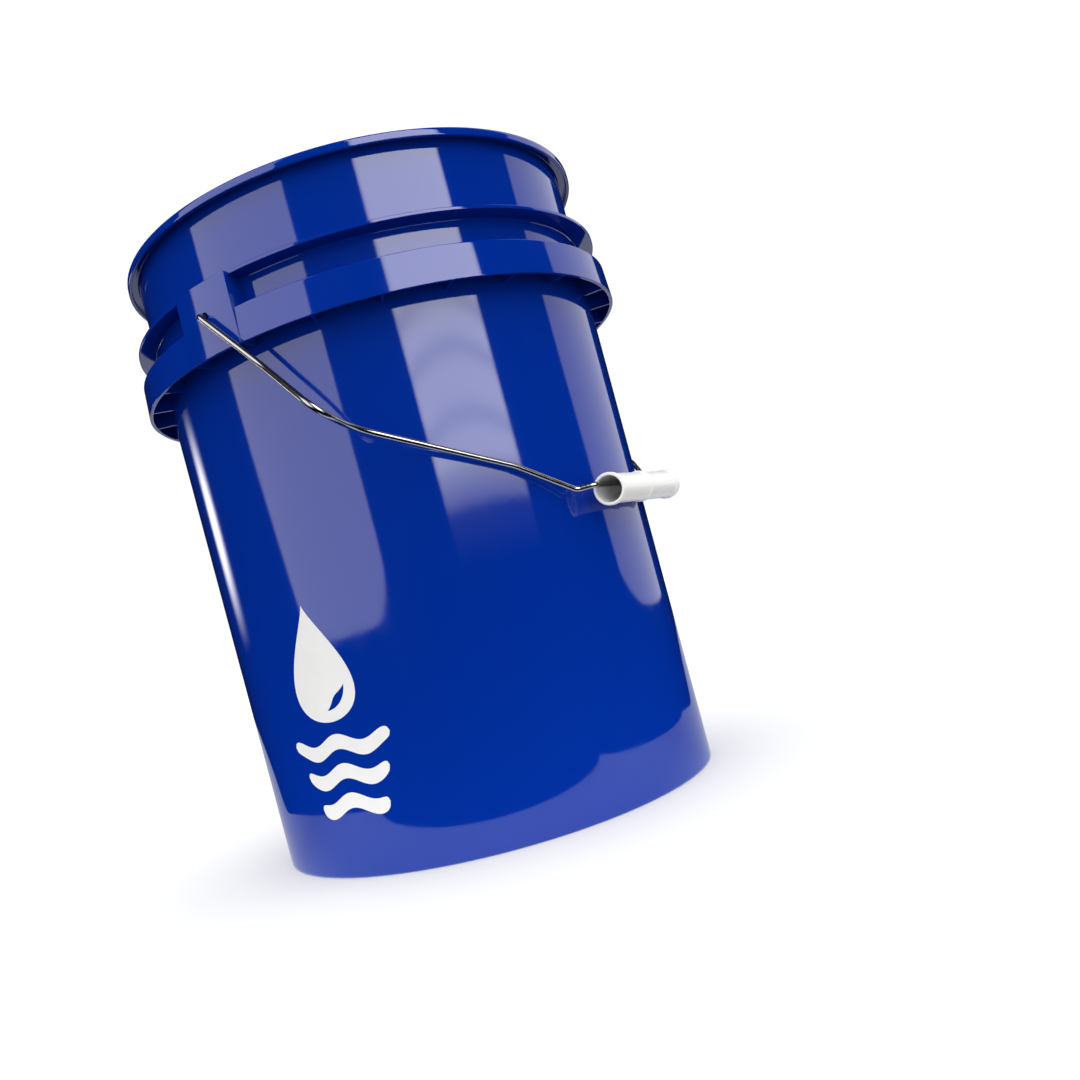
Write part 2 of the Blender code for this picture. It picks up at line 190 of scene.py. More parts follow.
class Nodes:
    """A short way to add and join the nodes of one material."""

    def __init__(self, name):
        self.material = bpy.data.materials.new(name)
        self.material.use_nodes = True
        self.tree = self.material.node_tree
        self.shader = self.tree.nodes["Principled BSDF"]

    def add(self, kind, **settings):
        node = self.tree.nodes.new(kind)
        for key, value in settings.items():
            if key in node.inputs:
                node.inputs[key].default_value = value
            else:
                setattr(node, key, value)
        return node

    def join(self, source, target):
        self.tree.links.new(source, target)

    def noise(self, scale, detail=3.0, stretch=(1.0, 1.0, 1.0)):
        """Noise in the object's own metres; scale is in cells for each metre."""
        place = self.add("ShaderNodeTexCoord")
        mapping = self.add("ShaderNodeMapping")
        mapping.inputs["Scale"].default_value = stretch
        noise = self.add("ShaderNodeTexNoise", Scale=scale, Detail=detail)
        self.join(place.outputs["Object"], mapping.inputs["Vector"])
        self.join(mapping.outputs["Vector"], noise.inputs["Vector"])
        return noise.outputs["Fac"]

    def blend(self, amount, first, second):
        """A colour between two colours."""
        ramp = self.add("ShaderNodeMix", data_type="RGBA")
        ramp.inputs[6].default_value = (*first, 1.0)
        ramp.inputs[7].default_value = (*second, 1.0)
        self.join(amount, ramp.inputs[0])
        return ramp.outputs[2]

    def between(self, amount, low, high):
        """A number between two numbers."""
        spread = self.add("ShaderNodeMapRange")
        spread.inputs["From Min"].default_value = 0.3
        spread.inputs["From Max"].default_value = 0.7
        spread.inputs["To Min"].default_value = low
        spread.inputs["To Max"].default_value = high
        self.join(amount, spread.inputs["Value"])
        return spread.outputs["Result"]

    def bump(self, height, depth):
        """A bump of that depth in metres."""
        bump = self.add("ShaderNodeBump")
        bump.inputs["Strength"].default_value = 1.0
        bump.inputs["Distance"].default_value = depth
        self.join(height, bump.inputs["Height"])
        self.join(bump.outputs["Normal"], self.shader.inputs["Normal"])


def pail_plastic():
    """Glossy royal blue: a deep even colour, a hint of orange peel and faint handling marks."""
    nodes = Nodes("pail_plastic")
    cloud = nodes.noise(9.0, 2.0)
    colour = nodes.blend(cloud, (0.0, 0.0215, 0.258), (0.0, 0.0240, 0.282))
    nodes.join(colour, nodes.shader.inputs["Base Color"])
    scuffs = nodes.noise(60.0, 6.0, (1.0, 1.0, 0.15))
    nodes.join(nodes.between(scuffs, 0.035, 0.075), nodes.shader.inputs["Roughness"])
    nodes.shader.inputs["IOR"].default_value = 1.5
    nodes.bump(nodes.noise(220.0, 2.0), 0.000004)
    return nodes.material


def guard_plastic():
    """Satin violet-blue plastic with fine moulding texture."""
    nodes = Nodes("guard_plastic")
    colour = nodes.blend(nodes.noise(30.0, 3.0), (0.008, 0.008, 0.36), (0.020, 0.018, 0.46))
    nodes.join(colour, nodes.shader.inputs["Base Color"])
    nodes.join(nodes.between(nodes.noise(90.0, 3.0), 0.30, 0.40), nodes.shader.inputs["Roughness"])
    nodes.bump(nodes.noise(500.0, 2.0), 0.000004)
    return nodes.material


def grip_plastic():
    """Semi-gloss white plastic, a little darker and rougher where a hand has been."""
    nodes = Nodes("grip_plastic")
    worn = nodes.noise(45.0, 4.0, (0.35, 1.0, 1.0))
    colour = nodes.blend(worn, (0.83, 0.83, 0.82), (0.76, 0.76, 0.75))
    nodes.join(colour, nodes.shader.inputs["Base Color"])
    nodes.join(nodes.between(worn, 0.22, 0.38), nodes.shader.inputs["Roughness"])
    nodes.bump(nodes.noise(900.0, 2.0), 0.00001)
    return nodes.material


def bright_wire():
    """Bright zinc-plated wire with a faint mottle in its colour, gloss and surface."""
    nodes = Nodes("bright_wire")
    mottle = nodes.noise(260.0, 3.0)
    colour = nodes.blend(mottle, (0.34, 0.335, 0.318), (0.27, 0.265, 0.252))
    nodes.join(colour, nodes.shader.inputs["Base Color"])
    nodes.shader.inputs["Metallic"].default_value = 1.0
    nodes.join(nodes.between(mottle, 0.15, 0.21), nodes.shader.inputs["Roughness"])
    nodes.bump(nodes.noise(1500.0, 3.0), 0.0000015)
    return nodes.material


def print_ink():
    """Opaque white screen-printing ink, slightly uneven in its gloss."""
    nodes = Nodes("print_ink")
    patch = nodes.noise(150.0, 3.0)
    colour = nodes.blend(patch, (0.70, 0.70, 0.695), (0.74, 0.74, 0.735))
    nodes.join(colour, nodes.shader.inputs["Base Color"])
    nodes.join(nodes.between(patch, 0.30, 0.45), nodes.shader.inputs["Roughness"])
    nodes.bump(nodes.noise(2500.0, 2.0), 0.000008)
    return nodes.material


# Building blocks


def rounded(corners, steps):
    """A path through the corners, each one rounded to its bend radius, the last number."""
    path = [Vector(corners[0][:-1])]
    for before, here, after in zip(corners, corners[1:], corners[2:]):
        middle = Vector(here[:-1])
        back = Vector(before[:-1]) - middle
        ahead = Vector(after[:-1]) - middle
        half = back.angle(ahead) / 2
        trim = min(here[-1] / math.tan(half), 0.48 * back.length, 0.48 * ahead.length)
        if trim < 1e-7:
            path.append(middle)
            continue
        start = middle + back.normalized() * trim
        end = middle + ahead.normalized() * trim
        for i in range(steps + 1):
            t = i / steps
            path.append(start * (1 - t) ** 2 + middle * 2 * t * (1 - t) + end * t ** 2)
    path.append(Vector(corners[-1][:-1]))
    return path


def refined(path, longest, margin):
    """The same path with a point close to both ends of each long stretch, and no stretch too long."""
    fine = [path[0]]
    for start, end in zip(path, path[1:]):
        along = end - start
        if along.length > 4 * margin:
            step = along.normalized() * margin
            count = max(1, math.ceil((along.length - 2 * margin) / longest))
            first, last = start + step, end - step
            fine += [first.lerp(last, i / count) for i in range(count + 1)]
        fine.append(end)
    return fine


def add_turned(mesh, path, steps, closed=False, centre=(0.0, 0.0), start=0.0, turn=math.tau):
    """Turn a path of (radius, height) points about an upright axis into a bmesh."""
    whole = abs(turn - math.tau) < 1e-9
    count = steps if whole else steps + 1
    rings = []
    for i in range(count):
        angle = start + turn * i / steps
        c, s = math.cos(angle), math.sin(angle)
        rings.append([mesh.verts.new((centre[0] + r * c, centre[1] + r * s, z)) for r, z in path])
    size = len(path)
    spans = range(size if closed else size - 1)
    for i in range(steps):
        here, ahead = rings[i], rings[(i + 1) % count]
        for k in spans:
            mesh.faces.new((here[k], ahead[k], ahead[(k + 1) % size], here[(k + 1) % size]))
    if not whole:
        mesh.faces.new(rings[0])
        mesh.faces.new(list(reversed(rings[-1])))


def add_prism(mesh, outline, low, high):
    """Extrude a flat outline between two heights, and give back its corners."""
    bottom = [mesh.verts.new((x, y, low)) for x, y in outline]
    face = mesh.faces.new(bottom)
    grown = bmesh.ops.extrude_face_region(mesh, geom=[face])
    top = [v for v in grown["geom"] if isinstance(v, bmesh.types.BMVert)]
    bmesh.ops.translate(mesh, vec=(0, 0, high - low), verts=top)
    return set(bottom) | set(top)


def add_block(mesh, outline, low, high, edge):
    """Extrude a flat outline between two heights and round its edges."""
    block = add_prism(mesh, outline, low, high)
    sharp = [
        e for e in mesh.edges
        if e.verts[0] in block and e.verts[1] in block and e.calc_face_angle(0.0) > SMOOTH_ANGLE
    ]
    bmesh.ops.bevel(
        mesh, geom=sharp, offset=edge, segments=2, affect="EDGES", profile=0.5, clamp_overlap=True
    )


def as_piece(name, mesh, material, smooth_angle=SMOOTH_ANGLE):
    """Turn a bmesh into a shaded object."""
    bmesh.ops.remove_doubles(mesh, verts=mesh.verts, dist=1e-7)
    bmesh.ops.recalc_face_normals(mesh, faces=mesh.faces)
    data = bpy.data.meshes.new(name)
    mesh.to_mesh(data)
    mesh.free()
    data.materials.append(material)
    data.shade_smooth()
    data.set_sharp_from_angle(angle=smooth_angle)
    piece = bpy.data.objects.new(name, data)
    pieces.objects.link(piece)
    even_shading(piece)
    return piece


def even_shading(piece):
    """Let the large faces set the shading, so that flat sides look flat up to their round edges."""
    weighted = piece.modifiers.new("even_shading", "WEIGHTED_NORMAL")
    weighted.weight = 80
    weighted.keep_sharp = True


def cut(piece, tools):
    """Subtract the tools from a piece for good, and shade it again."""
    piece.modifiers.clear()
    for tool in tools:
        modifier = piece.modifiers.new("cut", "BOOLEAN")
        modifier.operation = "DIFFERENCE"
        modifier.solver = "EXACT"
        modifier.object = tool
    bpy.context.view_layer.update()
    depsgraph = bpy.context.evaluated_depsgraph_get()
    data = bpy.data.meshes.new_from_object(piece.evaluated_get(depsgraph))
    piece.modifiers.clear()
    piece.data = data
    data.set_sharp_from_angle(angle=SMOOTH_ANGLE)
    even_shading(piece)


def show(piece, body):
    """Let the piece ride on its body."""
    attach(piece, body)
    return piece


# The pail


def wall_outside(z):
    """Outer radius of the tapered wall at a height."""
    return BASE_RADIUS + TAPER * z


def wall_inside(z):
    """Inner radius of the tapered wall at a height."""
    return wall_outside(z) - WALL


def pail_path():
    """Half section: out along the floor, up the inside, over the rim and down the outside."""
    lip_low = HEIGHT - RIM_DEPTH
    lip_under = HEIGHT - RIM_THICK
    web_low = COLLAR_TOP - COLLAR_THICK
    foot_inside = wall_outside(0.0) - BASE_ROUND - FOOT_WIDTH
    corners = [
        (0.0, FLOOR_TOP, 0.0),
        (wall_inside(FLOOR_TOP), FLOOR_TOP, FLOOR_FILLET),
        (wall_inside(HEIGHT), HEIGHT, 0.0010),
        (RIM_RADIUS, HEIGHT, RIM_ROUND),
        (RIM_RADIUS, lip_low, LIP_ROUND),
        (RIM_RADIUS - RIM_THICK, lip_low, 0.0005),
        (RIM_RADIUS - RIM_THICK, lip_under, 0.0006),
        (wall_outside(lip_under), lip_under, CORNER_ROUND),
        (wall_outside(FLANGE_TOP), FLANGE_TOP, CORNER_ROUND),
        (FLANGE_RADIUS, FLANGE_TOP, 0.0006),
        (FLANGE_RADIUS, FLANGE_LOW, 0.0004),
        (wall_outside(FLANGE_LOW), FLANGE_LOW, CORNER_ROUND),
        (wall_outside(COLLAR_TOP), COLLAR_TOP, CORNER_ROUND),
        (COLLAR_RADIUS_TOP, COLLAR_TOP, 0.0007),
        (COLLAR_RADIUS_LOW, COLLAR_LOW, EDGE_ROUND),
        (COLLAR_RADIUS_LOW - COLLAR_THICK, COLLAR_LOW, EDGE_ROUND),
        (COLLAR_RADIUS_TOP - COLLAR_THICK, web_low, CORNER_ROUND),
        (wall_outside(web_low), web_low, CORNER_ROUND),
        (wall_outside(0.0), 0.0, BASE_ROUND),
        (foot_inside, 0.0, 0.0005),
        (foot_inside, FOOT_HEIGHT, CORNER_ROUND),
        (0.0, FOOT_HEIGHT, 0.0),
    ]
    return refined(rounded(corners, 4), 0.025, 0.0004)


def ear_outline(inner, outer, half_angle, side):
    """A sector on the ear's side, as a flat outline."""
    steps = 12
    angles = [half_angle * (2 * i / steps - 1) for i in range(steps + 1)]
    points = [(outer * math.cos(a), outer * math.sin(a)) for a in angles]
    points += [(inner * math.cos(a), inner * math.sin(a)) for a in reversed(angles)]
    return [(side * x, side * y) for x, y in points]


def as_tool(name, mesh):
    """A closed bmesh as a hidden cutter."""
    bmesh.ops.recalc_face_normals(mesh, faces=mesh.faces)
    data = bpy.data.meshes.new(name)
    mesh.to_mesh(data)
    mesh.free()
    tool = bpy.data.objects.new(name, data)
    bpy.context.scene.collection.objects.link(tool)
    return tool


def ear_hollows():
    """Cutter for the hollows behind the two pads, open downwards."""
    mesh = bmesh.new()
    outside = EAR_RADIUS - EAR_THICK
    half = EAR_HALF_ANGLE - EAR_SIDE / outside
    for side in (-1, 1):
        outline = ear_outline(wall_outside(EAR_ROOF) + EAR_SKIN, outside, half, side)
        add_prism(mesh, outline, COLLAR_LOW - EAR_OPEN, EAR_ROOF)
    return as_tool("ear_hollows", mesh)


def ear_eyes():
    """Cutter for the two eyes that the wire goes through."""
    mesh = bmesh.new()
    for side in (-1, 1):
        eye = bmesh.ops.create_cone(
            mesh, cap_ends=True, segments=32, radius1=EYE_RADIUS, radius2=EYE_RADIUS, depth=EYE_LENGTH
        )
        bmesh.ops.transform(mesh, matrix=Matrix.Rotation(math.pi / 2, 4, "Y"), verts=eye["verts"])
        middle = (side * (EAR_RADIUS - EAR_THICK / 2), 0.0, HINGE.z)
        bmesh.ops.translate(mesh, vec=middle, verts=eye["verts"])
    return as_tool("ear_eyes", mesh)


def build_pail(material):
    """The turned shell, the two ear pads and the gussets under the collar."""
    tools = (ear_hollows(), ear_eyes())
    mesh = bmesh.new()
    add_turned(mesh, pail_path(), PAIL_STEPS)
    shell = as_piece("pail_shell", mesh, material)
    cut(shell, tools)
    mesh = bmesh.new()
    for side in (-1, 1):
        outline = ear_outline(wall_inside(COLLAR_LOW) + WALL / 2, EAR_RADIUS, EAR_HALF_ANGLE, side)
        add_block(mesh, outline, COLLAR_LOW + EAR_INSET, FLANGE_TOP - EAR_INSET, EAR_EDGE)
    ears = as_piece("pail_ears", mesh, material)
    cut(ears, tools)
    for tool in tools:
        bpy.data.objects.remove(tool, do_unlink=True)
    gussets = build_gussets(material)
    for piece in (shell, ears, gussets):
        show(piece, "pail")
    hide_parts("pail")


def build_gussets(material):
    """Upright plates that tie the collar's skirt to the wall."""
    inner = wall_outside(COLLAR_LOW) - WALL / 2
    outer = COLLAR_RADIUS_TOP - COLLAR_THICK / 2
    half = GUSSET_THICK / 2
    mesh = bmesh.new()
    for ear in (0, 180):
        for angle in GUSSET_ANGLES:
            for side in (-1, 1):
                turn = Matrix.Rotation(math.radians(ear + side * angle), 2)
                corners = [(inner, -half), (outer, -half), (outer, half), (inner, half)]
                outline = [turn @ Vector(corner) for corner in corners]
                add_block(mesh, outline, COLLAR_LOW + EDGE_ROUND, COLLAR_TOP - COLLAR_THICK / 2, EDGE_ROUND)
    return as_piece("pail_gussets", mesh, material)


# The printed mark


def drop_outline(middle, half_height, half_width, steps=96):
    """A drop of water, point upwards."""
    outline = []
    for i in range(steps):
        t = math.tau * i / steps
        outline.append((
            half_width * 1.3 * math.sin(t) * math.sin(t / 2) ** 1.6,
            middle + half_height * math.cos(t),
        ))
    return outline


def shine_outline(middle, radius, thick):
    """A curved glint inside the drop, thickest halfway."""
    steps = 24
    sweep = [math.radians(188 + 84 * i / steps) for i in range(steps + 1)]
    outer = [(radius * math.cos(a), middle + radius * math.sin(a)) for a in sweep]
    inner = []
    for i, angle in enumerate(sweep):
        depth = radius - thick * math.sin(math.pi * i / steps)
        inner.append((depth * math.cos(angle), middle + depth * math.sin(angle)))
    return outer + inner[-2:0:-1]


def wave_outline(middle, width):
    """A bold wavy band with round ends."""
    steps = 72
    upper, lower = [], []
    for i in range(steps + 1):
        x = width * (i / steps - 0.5)
        centre = middle + WAVE_HEIGHT * math.cos(math.tau * x / WAVE_LENGTH)
        thick = WAVE_THICK * math.sqrt(max(0.0, 1.0 - abs(2 * x / width) ** 12))
        upper.append((x, centre + thick))
        lower.append((x, centre - thick))
    return upper + lower[-2:0:-1]


def build_print(material):
    """White ink on the wall under the -X ear: a drop of water over three waves."""
    outlines = [drop_outline(*DROP), shine_outline(*SHINE)]
    outlines += [wave_outline(*wave) for wave in WAVES]
    mesh = filled(outlines)
    roll_on_wall(mesh)
    data = bpy.data.meshes.new("printed_mark")
    mesh.to_mesh(data)
    mesh.free()
    data.materials.append(material)
    data.shade_smooth()
    mark = bpy.data.objects.new("printed_mark", data)
    pieces.objects.link(mark)
    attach(mark, "pail")


def filled(outlines):
    """A flat bmesh inside the outlines, where one outline within another cuts a hole."""
    curve = bpy.data.curves.new("print", "CURVE")
    curve.dimensions = "2D"
    curve.fill_mode = "FRONT"
    for outline in outlines:
        spline = curve.splines.new("POLY")
        spline.points.add(len(outline) - 1)
        for point, (x, z) in zip(spline.points, outline):
            point.co = (x, z, 0.0, 1.0)
        spline.use_cyclic_u = True
    flat = bpy.data.objects.new("print", curve)
    bpy.context.scene.collection.objects.link(flat)
    bpy.context.view_layer.update()
    depsgraph = bpy.context.evaluated_depsgraph_get()
    mesh = bmesh.new()
    mesh.from_mesh(bpy.data.meshes.new_from_object(flat.evaluated_get(depsgraph)))
    bpy.data.objects.remove(flat, do_unlink=True)
    bmesh.ops.remove_doubles(mesh, verts=mesh.verts, dist=1e-6)
    return mesh


def roll_on_wall(mesh):
    """Cut the flat print into narrow columns and bend it round the wall, facing -X."""
    reach = max(abs(v.co.x) for v in mesh.verts)
    column = -reach
    while column < reach:
        geometry = mesh.verts[:] + mesh.edges[:] + mesh.faces[:]
        bmesh.ops.bisect_plane(mesh, geom=geometry, plane_co=(column, 0, 0), plane_no=(1, 0, 0), dist=1e-7)
        column += PRINT_COLUMN
    for vert in mesh.verts:
        across, z = vert.co.x, vert.co.y
        radius = wall_outside(z) + PRINT_LIFT
        angle = math.pi - across / radius
        vert.co = (radius * math.cos(angle), radius * math.sin(angle), z)
    bmesh.ops.recalc_face_normals(mesh, faces=mesh.faces)
    if mesh.faces[0].normal.x > 0:
        bmesh.ops.reverse_faces(mesh, faces=mesh.faces)


# The bail and its grip


def build_bail(material):
    """The bent wire, from the hook in one ear to the hook in the other."""
    corners = BAIL_CORNERS + [(0.0, GRIP_REACH, 0.0, 0.0)]
    half = refined(rounded(corners, 12), 0.006, 0.0005)
    points = half[:-1] + [Vector((-x, reach, bow)) for x, reach, bow in reversed(half[:-1])]
    place = Matrix.Translation(HINGE) @ Matrix.Rotation(REST_TILT, 4, "X")
    curve = bpy.data.curves.new("bail_wire", "CURVE")
    curve.dimensions = "3D"
    curve.bevel_depth = WIRE_RADIUS
    curve.bevel_resolution = 6
    curve.use_fill_caps = True
    curve.materials.append(material)
    spline = curve.splines.new("POLY")
    spline.points.add(len(points) - 1)
    for point, (x, reach, bow) in zip(spline.points, points):
        point.co = (*(place @ Vector((x, -reach, -bow))), 1.0)
    spline.use_smooth = True
    wire = bpy.data.objects.new("bail_wire", curve)
    pieces.objects.link(wire)
    show(wire, "bail")
    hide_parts("bail")


def grip_path():
    """Half section of the tube: outside with its three beads, then back along the bore."""
    half = (GRIP_HIGH.x - GRIP_LOW.x) / 2
    outer = [(GRIP_BORE, half, 0.0)]
    for middle in (half - BEAD_LENGTH / 2, 0.0, BEAD_LENGTH / 2 - half):
        top = middle + BEAD_LENGTH / 2
        low = middle - BEAD_LENGTH / 2
        if middle < half - BEAD_LENGTH:
            outer.append((GRIP_RADIUS, top + 0.0008, 0.0006))
        outer.append((GRIP_BEAD, top, 0.0006))
        outer.append((GRIP_BEAD, low, 0.0006))
        if middle > BEAD_LENGTH - half:
            outer.append((GRIP_RADIUS, low - 0.0008, 0.0006))
    outer.append((GRIP_BORE, -half, 0.0003))
    outer.append((GRIP_BORE, half, 0.0))
    return refined(rounded(outer, 4), 0.006, 0.0003)[:-1]


def build_grip(material):
    """The loose tube that hangs on the wire."""
    mesh = bmesh.new()
    add_turned(mesh, grip_path(), 96, closed=True)
    centre = (GRIP_LOW + GRIP_HIGH) / 2
    place = Matrix.Translation(centre) @ Matrix.Rotation(math.pi / 2, 4, "Y")
    bmesh.ops.transform(mesh, matrix=place, verts=mesh.verts)
    grip = as_piece("grip_tube", mesh, material, math.radians(40))
    show(grip, "grip")
    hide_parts("hand_grip")


# The grit guard


def blade_path(inner, outer, low, high, edge):
    """The closed section of an upright blade, with small round edges."""
    corners = [
        ((inner + outer) / 2, high, 0.0),
        (outer, high, edge),
        (outer, low, edge),
        (inner, low, edge),
        (inner, high, edge),
        ((inner + outer) / 2, high, 0.0),
    ]
    return rounded(corners, 2)[:-1]


def add_spoke(mesh, start, end, angle, thick, low, high):
    """A straight blade along a line through the axis."""
    turn = Matrix.Rotation(angle, 2)
    half = thick / 2
    corners = [(start, -half), (end, -half), (end, half), (start, half)]
    add_block(mesh, [turn @ Vector(c) for c in corners], low, high, EDGE_ROUND)


def spoke_start(place):
    """The ring where a spoke starts. Every sixth spoke is on a fin, and starts at the axis."""
    if place % 6 == 0:
        return 0
    return 2 if place % 2 == 0 else 3


def build_guard(material):
    """A round grille on two crossed fins that stand on short feet."""
    high = GUARD_HIGH.z
    low = high - GRILLE_DEPTH
    pitch = GUARD_RADIUS / RINGS
    half = BLADE / 2
    mesh = bmesh.new()
    rim = GUARD_RADIUS - RIM_BLADE / 2
    path = blade_path(GUARD_RADIUS - RIM_BLADE, GUARD_RADIUS, low, high, RIM_EDGE)
    add_turned(mesh, path, 240, closed=True)
    for ring in range(2, RINGS):
        radius = ring * pitch
        path = blade_path(radius - half, radius + half, low, high, EDGE_ROUND)
        add_turned(mesh, path, 24 * ring, closed=True)
    for place in range(24):
        if place % 6:
            angle = FIN_TURN + place * SPOKE_STEP
            add_spoke(mesh, spoke_start(place) * pitch, rim, angle, BLADE, low, high)
    for quarter in range(4):
        angle = FIN_TURN + quarter * math.pi / 2
        add_spoke(mesh, 0.0, rim, angle, FIN_THICK, GUARD_LOW.z + FOOT, high - EDGE_ROUND)
        for ring in range(1, RINGS, 2):
            spot = (ring * pitch * math.cos(angle), ring * pitch * math.sin(angle))
            rod = rounded([
                (0.0, high - half, 0.0),
                (ROD_RADIUS, high - half, EDGE_ROUND),
                (ROD_RADIUS, GUARD_LOW.z, CORNER_ROUND),
                (0.0, GUARD_LOW.z, 0.0),
            ], 3)
            add_turned(mesh, rod, 16, centre=spot)
        reach = rim - LOOP_RADIUS
        spot = (reach * math.cos(angle), reach * math.sin(angle))
        loop = blade_path(LOOP_RADIUS - BLADE, LOOP_RADIUS, low, high, EDGE_ROUND)
        add_turned(mesh, loop, 48, closed=True, centre=spot)
    build_hub(mesh, pitch, low, high)
    guard = as_piece("guard_grille", mesh, material)
    show(guard, "guard")
    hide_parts("grit_guard")


def build_hub(mesh, pitch, low, high):
    """Two stubs, the small ring between the hub loops, and the loops."""
    half = BLADE / 2
    for turn in (math.pi / 2, -math.pi / 2):
        add_spoke(mesh, pitch, 2 * pitch, turn, BLADE, low, high)
    offset = 2 * pitch - HUB_LOOP_RADIUS - LOOP_GAP
    for side in (-1, 1):
        path = blade_path(HUB_LOOP_RADIUS - half, HUB_LOOP_RADIUS + half, low, high, EDGE_ROUND)
        add_turned(mesh, path, 48, closed=True, centre=(side * offset, 0.0))
    reach = math.acos((pitch ** 2 + offset ** 2 - HUB_LOOP_RADIUS ** 2) / (2 * pitch * offset))
    for start in (reach, math.pi + reach):
        path = blade_path(pitch - half, pitch + half, low, high, EDGE_ROUND)
        add_turned(mesh, path, 16, closed=True, start=start, turn=math.pi - 2 * reach)


# The studio


def smooth(value, start, end):
    """A soft step from 0 at start to 1 at end."""
    t = max(0.0, min(1.0, (value - start) / (end - start)))
    return t * t * (3 - 2 * t)


def glow():
    """Light whose colour and strength are stored at each point of the card that carries it."""
    material = bpy.data.materials.new("studio_light")
    material.use_nodes = True
    tree = material.node_tree
    tree.nodes.clear()
    output = tree.nodes.new("ShaderNodeOutputMaterial")
    emission = tree.nodes.new("ShaderNodeEmission")
    light = tree.nodes.new("ShaderNodeAttribute")
    light.attribute_name = "light"
    tree.links.new(light.outputs["Color"], emission.inputs["Color"])
    tree.links.new(emission.outputs["Emission"], output.inputs["Surface"])
    return material


def card(name, columns, rows, place, shade, material):
    """A grid of points, with its light worked out at each one."""
    points, light = [], []
    for i in range(columns + 1):
        for k in range(rows + 1):
            u, v = i / columns, k / rows
            points.append(place(u, v))
            light.append(shade(u, v))
    faces = []
    for i in range(columns):
        for k in range(rows):
            corner = i * (rows + 1) + k
            faces.append((corner, corner + rows + 1, corner + rows + 2, corner + 1))
    mesh = bpy.data.meshes.new(name)
    mesh.from_pydata(points, [], faces)
    layer = mesh.color_attributes.new("light", "FLOAT_COLOR", "POINT")
    for item, colour in zip(layer.data, light):
        item.color = (*colour, 1.0)
    mesh.materials.append(material)
    thing = bpy.data.objects.new(name, mesh)
    studio.objects.link(thing)
    thing.visible_camera = False
    thing.visible_shadow = False
    return thing


def towards(azimuth):
    """A level direction, from its azimuth in degrees."""
    return Vector((math.cos(math.radians(azimuth)), math.sin(math.radians(azimuth)), 0.0))


def soft_box(name, span, heights, shade, material):
    """An upright panel between two azimuths in degrees, which shows only in reflections."""
    left, right = (towards(azimuth) * STUDIO_RADIUS for azimuth in span)
    low, high = heights

    def place(u, v):
        spot = left.lerp(right, u)
        return (spot.x, spot.y, low + (high - low) * v ** 2)

    def tinted(u, v):
        strength = shade(u, v ** 2)
        return (strength, WHITE * strength, strength)

    box = card(name, 64, 140, place, tinted, material)
    box.visible_diffuse = False


def round_corner(u, v, width, height):
    """0 outside the round lower corners of a panel, and 1 inside them."""
    side = min(u, 1 - u) / width
    down = v / height
    if side > 1 or down > 1:
        return 1.0
    return 1.0 - smooth(math.hypot(1 - side, 1 - down), 0.965, 1.035)


def wide_light(u, v):
    """Even, with round lower corners, and leaning in near its lower end."""
    lean = 0.11 * max(0.0, 1 - v / 0.25) ** 1.3
    return 2.7 * round_corner(u, v, 0.24, 0.075) * smooth(u, lean - 0.02, lean + 0.01)


def near_light(u, v):
    """Brightest high up, with three faint folds, and stepping down to a dim lower end."""
    arch = 0.014 * (1 - (2 * u - 1) ** 2)
    folds = 0.0
    for height, depth, width in ((0.125, 0.24, 0.010), (0.188, 0.24, 0.010), (0.239, 0.30, 0.013)):
        folds += depth * math.exp(-((v - height - arch) / width) ** 2)
    low_end = 0.03 * smooth(v, 0.0, 0.050) + 0.36 * smooth(v, 0.051, 0.067)
    low_end += 0.33 * smooth(v, 0.064, 0.094) + 0.28 * smooth(v, 0.088, 0.103)
    return 7.4 * low_end * (1 - folds) * smooth(min(u, 1 - u), -0.03, 0.05)


def right_light(u, v):
    """Even, leaning in near its lower end, with one wide and one tight round lower corner."""
    lean = 0.10 * max(0.0, 1 - v / 0.41) ** 1.2
    high_lean = 0.02 * smooth(v, 0.2, 0.4)
    across = min(u, 0.25 + 0.5 * u)
    sides = smooth(u, lean - 0.015, lean + 0.015) * smooth(1 - u, high_lean - 0.01, high_lean + 0.01)
    return 1.22 * round_corner(across, v, 0.45, 0.075) * sides


def strip_light(u, v):
    """Strongest in the middle, and fading to every side."""
    across = smooth(u, 0.0, 0.5) * smooth(1 - u, 0.0, 0.5)
    return 8.5 * across * smooth(v, 0.0, 0.55) * smooth(1 - v, 0.0, 0.55)


def rear_light(u, v):
    """Even, with a soft lower end."""
    return 2.4 * smooth(v, 0.0, 0.05)


def pool_reach(azimuth):
    """How far the bright floor goes from the axis: two scallops in front, and further behind."""
    away = (azimuth - CAMERA_AZIMUTH + 180) % 360 - 180
    reach = 0.287 + 3.0 * (max(0.0, abs(away - 2) - 108.5) / 76) ** 2
    reach -= 0.083 * math.sqrt(max(0.0, 1 - ((away + 2) / 43) ** 2))
    reach -= 0.034 * math.sqrt(max(0.0, 1 - ((away - 69) / 28) ** 2))
    return reach


def build_pool(material):
    """The lit floor close to the pail: what its wall mirrors, and a soft light on its lower end."""
    camera = towards(CAMERA_AZIMUTH)
    inner = BASE_RADIUS * 0.9

    def place(u, v):
        azimuth = 360 * u
        spot = towards(azimuth) * (inner + (pool_reach(azimuth) - inner) * v)
        return (spot.x, spot.y, UNDER_FLOOR)

    def mirrored(u, v):
        x, y, z = place(u, v)
        near = smooth(x * camera.x + y * camera.y, 0.02, 0.17)
        return tuple(b + (f - b) * near for f, b in zip(POOL_FRONT, POOL_BACK))

    pool = card("floor_pool", 180, 8, place, mirrored, material)
    pool.visible_diffuse = False
    bounce = card("floor_bounce", 180, 2, place, lambda u, v: (BOUNCE, BOUNCE, BOUNCE), material)
    bounce.visible_glossy = False


